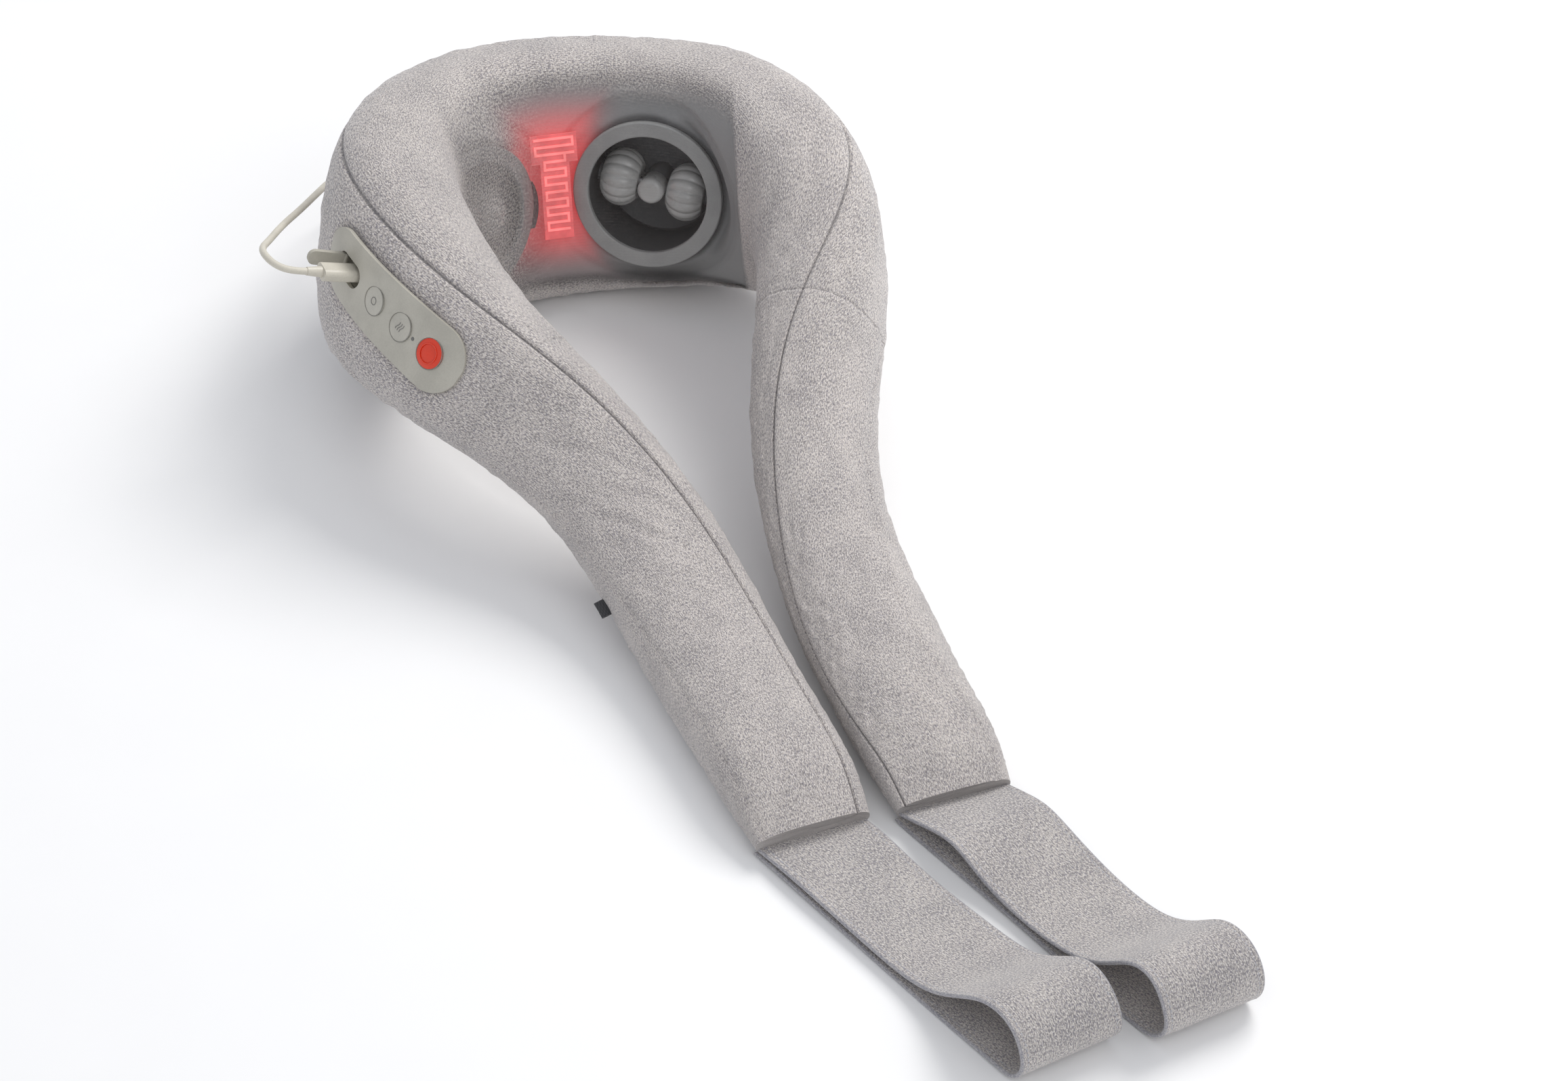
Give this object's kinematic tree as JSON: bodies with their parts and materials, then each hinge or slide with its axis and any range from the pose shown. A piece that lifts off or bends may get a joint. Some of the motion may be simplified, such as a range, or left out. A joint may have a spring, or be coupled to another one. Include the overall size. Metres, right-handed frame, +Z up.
{
  "type": "shiatsu neck massager",
  "caption": "U-shaped padded shiatsu neck and shoulder massager with rotating kneading heads, a heater, a side control panel, a charging lead and webbing hand loops.",
  "frame": {"origin": "middle of the flat strip that the collar's back rests on, at the height of the table", "axes": "+Z up from the table, -Y from the collar's back towards the hand loops, +X to the side without the control panel"},
  "size_m": [0.3512, 0.8212, 0.156],
  "materials": {
    "knit": "heathered knit over foam",
    "lining": "sheer elastic mesh lining",
    "webbing": "stitched knit webbing",
    "label_fabric": "woven side label",
    "panel_plastic": "fine satin texture",
    "button_plastic": "fine satin texture",
    "power_red": "smooth satin",
    "lens": "frosted light guide",
    "flap_rubber": "matt moulded",
    "plug_plastic": "moulded satin",
    "cord_rubber": "satin sheath",
    "tie_rubber": "matt",
    "dark_housing": "moulded black",
    "ring_grey": "moulded satin",
    "carrier_grey": "moulded satin",
    "roller_plastic": "polished",
    "bridge_plastic": "moulded satin",
    "steel": "plated",
    "motor_steel": "drawn can",
    "brass": "machined",
    "nylon": "natural moulded",
    "heater_pad": "thin film",
    "heater_wire": "resistance track",
    "circuit_board": "solder mask",
    "switch_black": "moulded",
    "battery_wrap": "shrink wrap",
    "battery_can": "nickel plated"
  },
  "bodies": {
    "collar": {"left_cup": "dark_housing", "left_gearcase": "dark_housing", "left_ring": "ring_grey", "left_ring_screws": "steel", "left_bush": "brass", "left_motor": "motor_steel", "right_cup": "dark_housing", "right_gearcase": "dark_housing", "right_ring": "ring_grey", "right_ring_screws": "steel", "right_bush": "brass", "right_motor": "motor_steel", "bridge": "bridge_plastic", "heater_pad": "heater_pad", "heater_wire": "heater_wire", "control_panel": "panel_plastic", "panel_box": "dark_housing", "control_board": "circuit_board", "button_switches": "switch_black", "status_lens": "lens", "port_well": "panel_plastic", "usb_socket": "steel", "battery_case": "battery_wrap", "battery_cells": "battery_can", "collar_pad": "knit", "inner_cover": "lining", "lead_plug": "plug_plastic", "lead_relief": "plug_plastic", "lead_usb_plug": "plug_plastic", "lead_cord": "cord_rubber", "lead_coil": "cord_rubber", "lead_tie": "tie_rubber"},
    "left_head": {"left_carrier": "carrier_grey", "left_axle": "steel", "left_shaft": "steel", "left_wheel": "nylon"},
    "left_worm_shaft": {"left_worm": "brass"},
    "left_roller_a_body": {"left_roller_a": "roller_plastic"},
    "left_roller_b_body": {"left_roller_b": "roller_plastic"},
    "right_head": {"right_carrier": "carrier_grey", "right_axle": "steel", "right_shaft": "steel", "right_wheel": "nylon"},
    "right_worm_shaft": {"right_worm": "brass"},
    "right_roller_a_body": {"right_roller_a": "roller_plastic"},
    "right_roller_b_body": {"right_roller_b": "roller_plastic"},
    "mode_button_body": {"mode_button": "button_plastic"},
    "heat_button_body": {"heat_button": "button_plastic"},
    "power_button_body": {"power_button": "power_red"},
    "port_cover_body": {"port_cover": "flap_rubber"},
    "left_arm": {"left_arm_pad": "knit", "care_label": "label_fabric"},
    "right_arm": {"right_arm_pad": "knit"},
    "left_loop": {"left_hand_loop": "webbing"},
    "right_loop": {"right_hand_loop": "webbing"}
  },
  "joints": [
    {"name": "left_head_spin", "type": "hinge", "parent": "collar", "child": "left_head", "pos_m": [-0.05207, -0.02871, 0.07906], "axis": [0.4994, -0.8412, 0.2072], "continuous": true},
    {"name": "left_worm_spin", "type": "hinge", "parent": "collar", "child": "left_worm_shaft", "pos_m": [-0.05989, 0.02879, 0.06352], "axis": [0.0504, 0.267, 0.9624], "continuous": true},
    {"name": "left_roller_a_spin", "type": "hinge", "parent": "left_head", "child": "left_roller_a_body", "pos_m": [-0.06206, -0.01189, 0.07492], "axis": [0.827, 0.3916, -0.4034], "continuous": true},
    {"name": "left_roller_b_spin", "type": "hinge", "parent": "left_head", "child": "left_roller_b_body", "pos_m": [-0.06206, -0.01189, 0.07492], "axis": [0.827, 0.3916, -0.4034], "continuous": true},
    {"name": "right_head_spin", "type": "hinge", "parent": "collar", "child": "right_head", "pos_m": [0.04537, -0.03551, 0.07745], "axis": [-0.5187, -0.7962, 0.3116], "continuous": true},
    {"name": "right_worm_spin", "type": "hinge", "parent": "collar", "child": "right_worm_shaft", "pos_m": [0.05452, 0.02024, 0.05701], "axis": [0.0475, 0.337, 0.9403], "continuous": true},
    {"name": "right_roller_a_spin", "type": "hinge", "parent": "right_head", "child": "right_roller_a_body", "pos_m": [0.05574, -0.01958, 0.07122], "axis": [0.8168, -0.5691, -0.0946], "continuous": true},
    {"name": "right_roller_b_spin", "type": "hinge", "parent": "right_head", "child": "right_roller_b_body", "pos_m": [0.05574, -0.01958, 0.07122], "axis": [0.8168, -0.5691, -0.0946], "continuous": true},
    {"name": "mode_button_press", "type": "slide", "parent": "collar", "child": "mode_button_body", "axis": [0.8768, 0.2067, -0.4342], "range_m": [0, 0.001], "stiffness_N_per_m": 1200, "springref_m": -0.0006},
    {"name": "heat_button_press", "type": "slide", "parent": "collar", "child": "heat_button_body", "axis": [0.8055, 0.3183, -0.4998], "range_m": [0, 0.001], "stiffness_N_per_m": 1200, "springref_m": -0.0006},
    {"name": "power_button_press", "type": "slide", "parent": "collar", "child": "power_button_body", "axis": [0.7168, 0.4143, -0.5608], "range_m": [0, 0.001], "stiffness_N_per_m": 1200, "springref_m": -0.0006},
    {"name": "port_cover_hinge", "type": "hinge", "parent": "collar", "child": "port_cover_body", "pos_m": [-0.1463, -0.08016, 0.11725], "axis": [0.3461, 0.0273, 0.9378], "range_deg": [-10, 8]},
    {"name": "left_arm_swing", "type": "hinge", "parent": "collar", "child": "left_arm", "pos_m": [-0.0898, -0.24516, 0.05141], "axis": [0, 0, -1], "range_deg": [0, 15]},
    {"name": "right_arm_swing", "type": "hinge", "parent": "collar", "child": "right_arm", "pos_m": [0.11041, -0.23927, 0.04088], "axis": [0, 0, 1], "range_deg": [0, 15]},
    {"name": "left_loop_lift", "type": "hinge", "parent": "left_arm", "child": "left_loop", "pos_m": [-0.02, -0.4905, 0.0088], "axis": [-1, 0, 0], "range_deg": [0, 50]},
    {"name": "right_loop_lift", "type": "hinge", "parent": "right_arm", "child": "right_loop", "pos_m": [0.058, -0.4925, 0.0098], "axis": [-1, 0, 0], "range_deg": [0, 50]}
  ],
  "couplings": [
    {"joint": "left_worm_spin", "follows": "left_head_spin", "ratio": -36},
    {"joint": "right_worm_spin", "follows": "right_head_spin", "ratio": 36}
  ]
}
